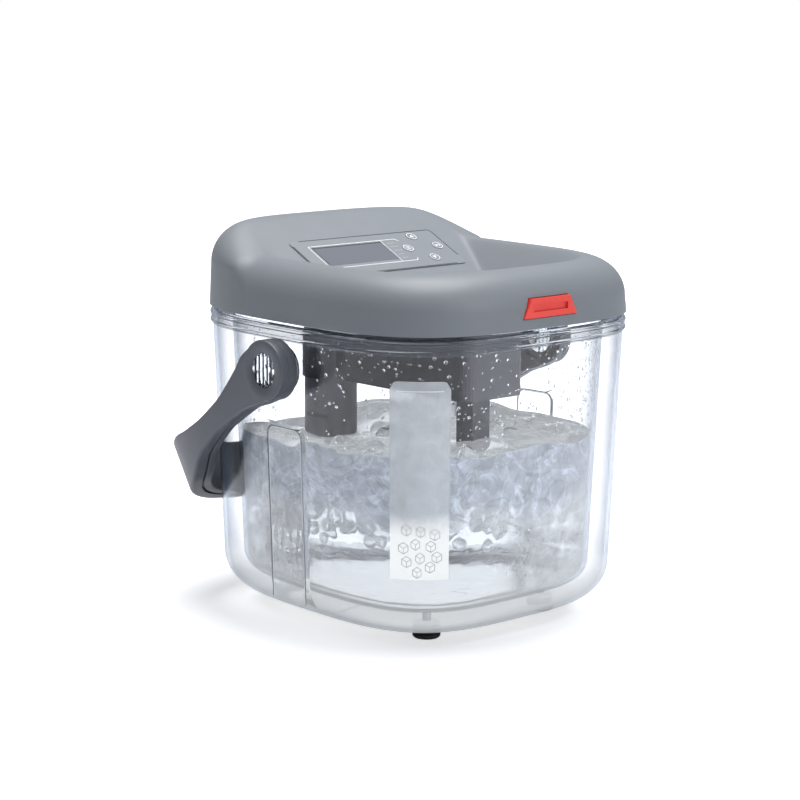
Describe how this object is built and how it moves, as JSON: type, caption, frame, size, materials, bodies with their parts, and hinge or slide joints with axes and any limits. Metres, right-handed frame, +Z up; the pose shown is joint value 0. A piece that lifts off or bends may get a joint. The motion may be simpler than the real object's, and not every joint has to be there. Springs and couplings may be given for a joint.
{
  "type": "hot and cold therapy machine",
  "caption": "Clear double-walled water tank with a hinged lid that holds a pump, heater and control panel, a push latch and a swinging carry handle.",
  "frame": {"origin": "middle of the object's bounding box at the floor, with the handle stored at the back", "axes": "+Z up, front with the latch towards -Y, hump and stored handle towards +Y, handle pivots along X"},
  "size_m": [0.2598, 0.2733, 0.2561],
  "materials": {
    "clear_shell": "polished clear",
    "inner_shell": "polished clear",
    "frosted_strip": "frosted film",
    "rubber_black": "matt",
    "lid_grey": "fine satin",
    "handle_grey": "fine satin",
    "dark_plastic": "satin",
    "panel_grey": "satin film",
    "display_glass": "glossy",
    "board_green": "satin",
    "pale_plastic": "satin",
    "latch_red": "satin",
    "silicone": "smooth",
    "aluminium": "machined",
    "steel": "brushed",
    "dark_steel": "dark"
  },
  "bodies": {
    "tank": {"outer_tank": "clear_shell", "inner_tank": "inner_shell", "level_strip": "frosted_strip", "rubber_feet": "rubber_black", "foot_bosses": "clear_shell", "foot_studs": "dark_steel", "pivot_bosses": "clear_shell", "rim_seal": "rubber_black", "latch_keeper": "pale_plastic", "hinge_bracket": "lid_grey", "hinge_pin": "steel", "hinge_screws": "steel"},
    "lid": {"lid_cover": "lid_grey", "lid_base": "dark_plastic", "lid_screws": "steel", "hinge_knuckle": "lid_grey", "knuckle_screws": "steel", "pump_housing": "dark_plastic", "pump_column": "dark_plastic", "intake_strainer": "dark_plastic", "pump_volute": "dark_plastic", "pump_motor": "steel", "supply_tube": "silicone", "feed_tube": "silicone", "return_pipe": "dark_plastic", "return_tube": "silicone", "heater_block": "aluminium", "temperature_probe": "steel", "hose_sockets": "dark_plastic", "power_socket": "dark_plastic", "panel_overlay": "panel_grey", "display_window": "display_glass", "display_module": "dark_plastic", "panel_carrier": "dark_plastic", "control_board": "board_green", "key_switches": "pale_plastic", "latch_guide": "dark_plastic", "latch_spring": "steel"},
    "latch": {"latch_button": "latch_red"},
    "up_key": {"key_up": "panel_grey"},
    "down_key": {"key_down": "panel_grey"},
    "mode_key": {"key_mode": "panel_grey"},
    "run_key": {"key_run": "panel_grey"},
    "rotor": {"impeller": "pale_plastic"},
    "handle": {"handle_outer": "handle_grey", "handle_inner": "handle_grey", "handle_screws": "steel"}
  },
  "joints": [
    {"name": "lid_hinge", "type": "hinge", "parent": "tank", "child": "lid", "pos_m": [0, 0.11773, 0.2015], "axis": [-1, 0, 0], "range_deg": [0, 95]},
    {"name": "handle_swing", "type": "hinge", "parent": "tank", "child": "handle", "pos_m": [0, -0.01177, 0.172], "axis": [1, 0, 0], "range_deg": [0, 240]},
    {"name": "latch_press", "type": "slide", "parent": "lid", "child": "latch", "axis": [0, 1, 0], "range_m": [0, 0.003], "stiffness_N_per_m": 600, "deforming": ["latch_spring"]},
    {"name": "up_press", "type": "slide", "parent": "lid", "child": "up_key", "axis": [0, 0.4384, -0.8988], "range_m": [0, 0.0005], "stiffness_N_per_m": 1200},
    {"name": "down_press", "type": "slide", "parent": "lid", "child": "down_key", "axis": [0, 0.4384, -0.8988], "range_m": [0, 0.0005], "stiffness_N_per_m": 1200},
    {"name": "mode_press", "type": "slide", "parent": "lid", "child": "mode_key", "axis": [0, 0.4384, -0.8988], "range_m": [0, 0.0005], "stiffness_N_per_m": 1200},
    {"name": "run_press", "type": "slide", "parent": "lid", "child": "run_key", "axis": [0, 0.4384, -0.8988], "range_m": [0, 0.0005], "stiffness_N_per_m": 1200},
    {"name": "impeller_spin", "type": "hinge", "parent": "lid", "child": "rotor", "pos_m": [-0.008, 0.06523, 0.054], "axis": [0, 0, 1], "continuous": true}
  ]
}
